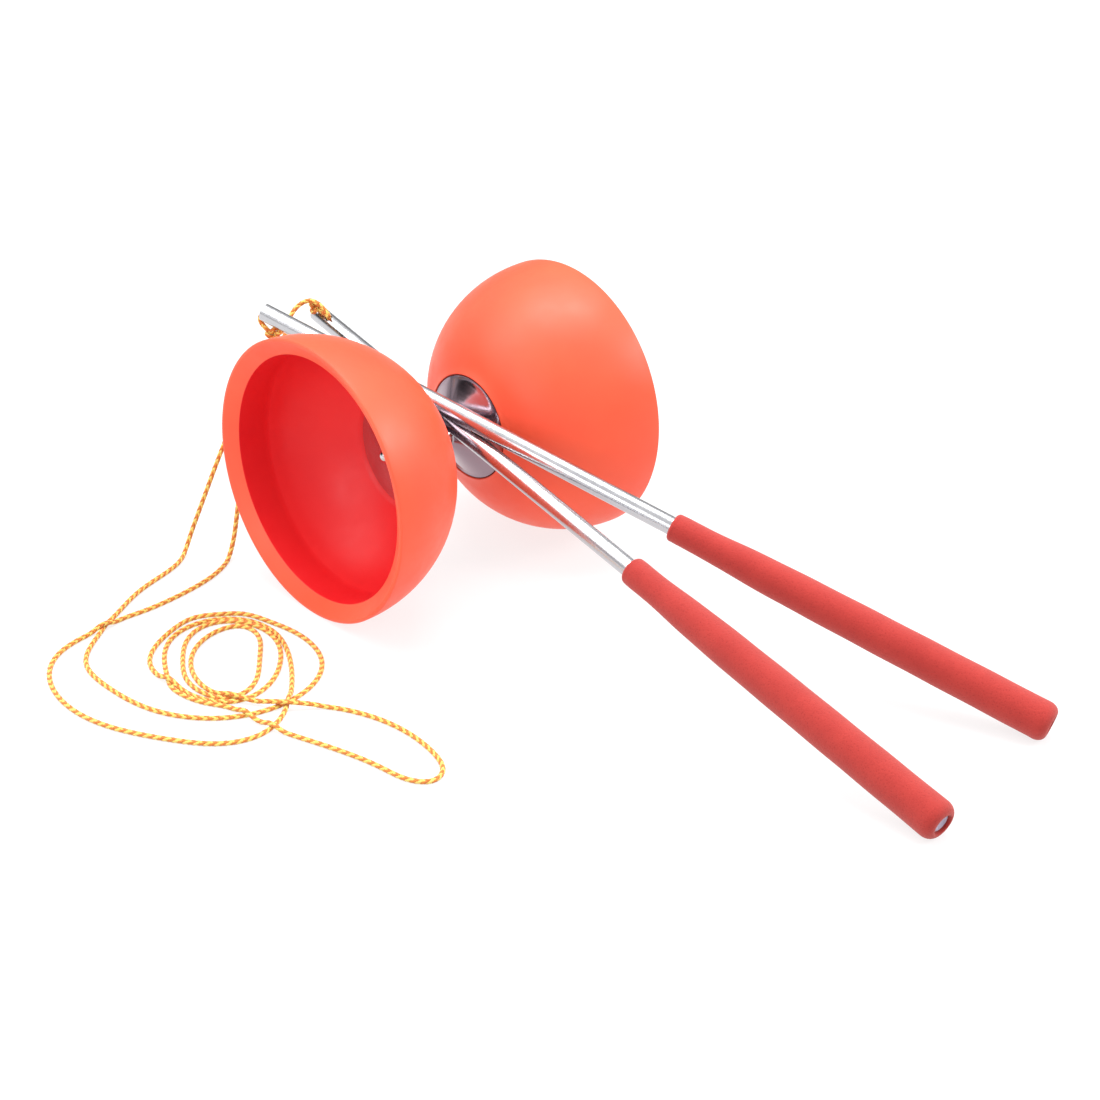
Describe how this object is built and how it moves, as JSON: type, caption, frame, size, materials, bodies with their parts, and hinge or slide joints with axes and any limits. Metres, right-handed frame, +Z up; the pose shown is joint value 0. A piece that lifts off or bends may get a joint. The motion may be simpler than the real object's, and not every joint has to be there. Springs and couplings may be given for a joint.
{
  "type": "diabolo with handsticks",
  "caption": "Soft-cupped diabolo on a ball-bearing axle, with foam-gripped tube handsticks laid over it and a braided string loosely coiled on the ground.",
  "frame": {"origin": "on the ground, under the middle of the box around everything but the string", "axes": "+X along the diabolo's axle, from the front cup to the back cup; +Y along the handsticks, from the grips to the string tips; +Z up"},
  "size_m": [0.2894, 0.3798, 0.125],
  "materials": {
    "cup_rubber": "satin",
    "hub_aluminium": "mirror polished",
    "polished_steel": "polished",
    "zinc_steel": "zinc plated",
    "tube_aluminium": "polished",
    "grip_foam": "matte foam",
    "plug_plastic": "matte",
    "string_braid": "braided, two colours"
  },
  "bodies": {
    "sleeve": {"axle_sleeve": "polished_steel", "string_run_upper": "string_braid", "string_run_lower": "string_braid", "string_loop": "string_braid", "string_coil": "string_braid"},
    "rotor": {"cup_front": "cup_rubber", "cup_back": "cup_rubber", "hub_cone_front": "hub_aluminium", "hub_cone_back": "hub_aluminium", "clamp_plate_front": "hub_aluminium", "clamp_plate_back": "hub_aluminium", "washer_front": "zinc_steel", "washer_back": "zinc_steel", "cap_nut_front": "polished_steel", "cap_nut_back": "polished_steel", "threaded_rod": "zinc_steel", "bearing_inner_ring": "zinc_steel"},
    "ball_cage": {"bearing_ball_cage": "zinc_steel"},
    "lower_handstick": {"handstick_tube_lower": "tube_aluminium", "foam_grip_lower": "grip_foam", "end_plug_lower": "plug_plastic", "string_end_lower": "string_braid", "knot_lower": "string_braid"},
    "upper_handstick": {"handstick_tube_upper": "tube_aluminium", "foam_grip_upper": "grip_foam", "end_plug_upper": "plug_plastic", "knot_upper": "string_braid"}
  },
  "joints": [
    {"name": "rotor_spin", "type": "hinge", "parent": "sleeve", "child": "rotor", "pos_m": [-0.01049, 0.09943, 0.0625], "axis": [1, 0, 0], "continuous": true},
    {"name": "cage_spin", "type": "hinge", "parent": "sleeve", "child": "ball_cage", "pos_m": [-0.01049, 0.09943, 0.0625], "axis": [1, 0, 0], "continuous": true},
    {"name": "lower_lift", "type": "slide", "parent": "sleeve", "child": "lower_handstick", "axis": [0, 0, 1], "range_m": [0, 0.06]},
    {"name": "upper_lift", "type": "slide", "parent": "lower_handstick", "child": "upper_handstick", "axis": [0, 0, 1], "range_m": [0, 0.06]}
  ],
  "couplings": [
    {"joint": "cage_spin", "follows": "rotor_spin", "ratio": 0.418}
  ]
}
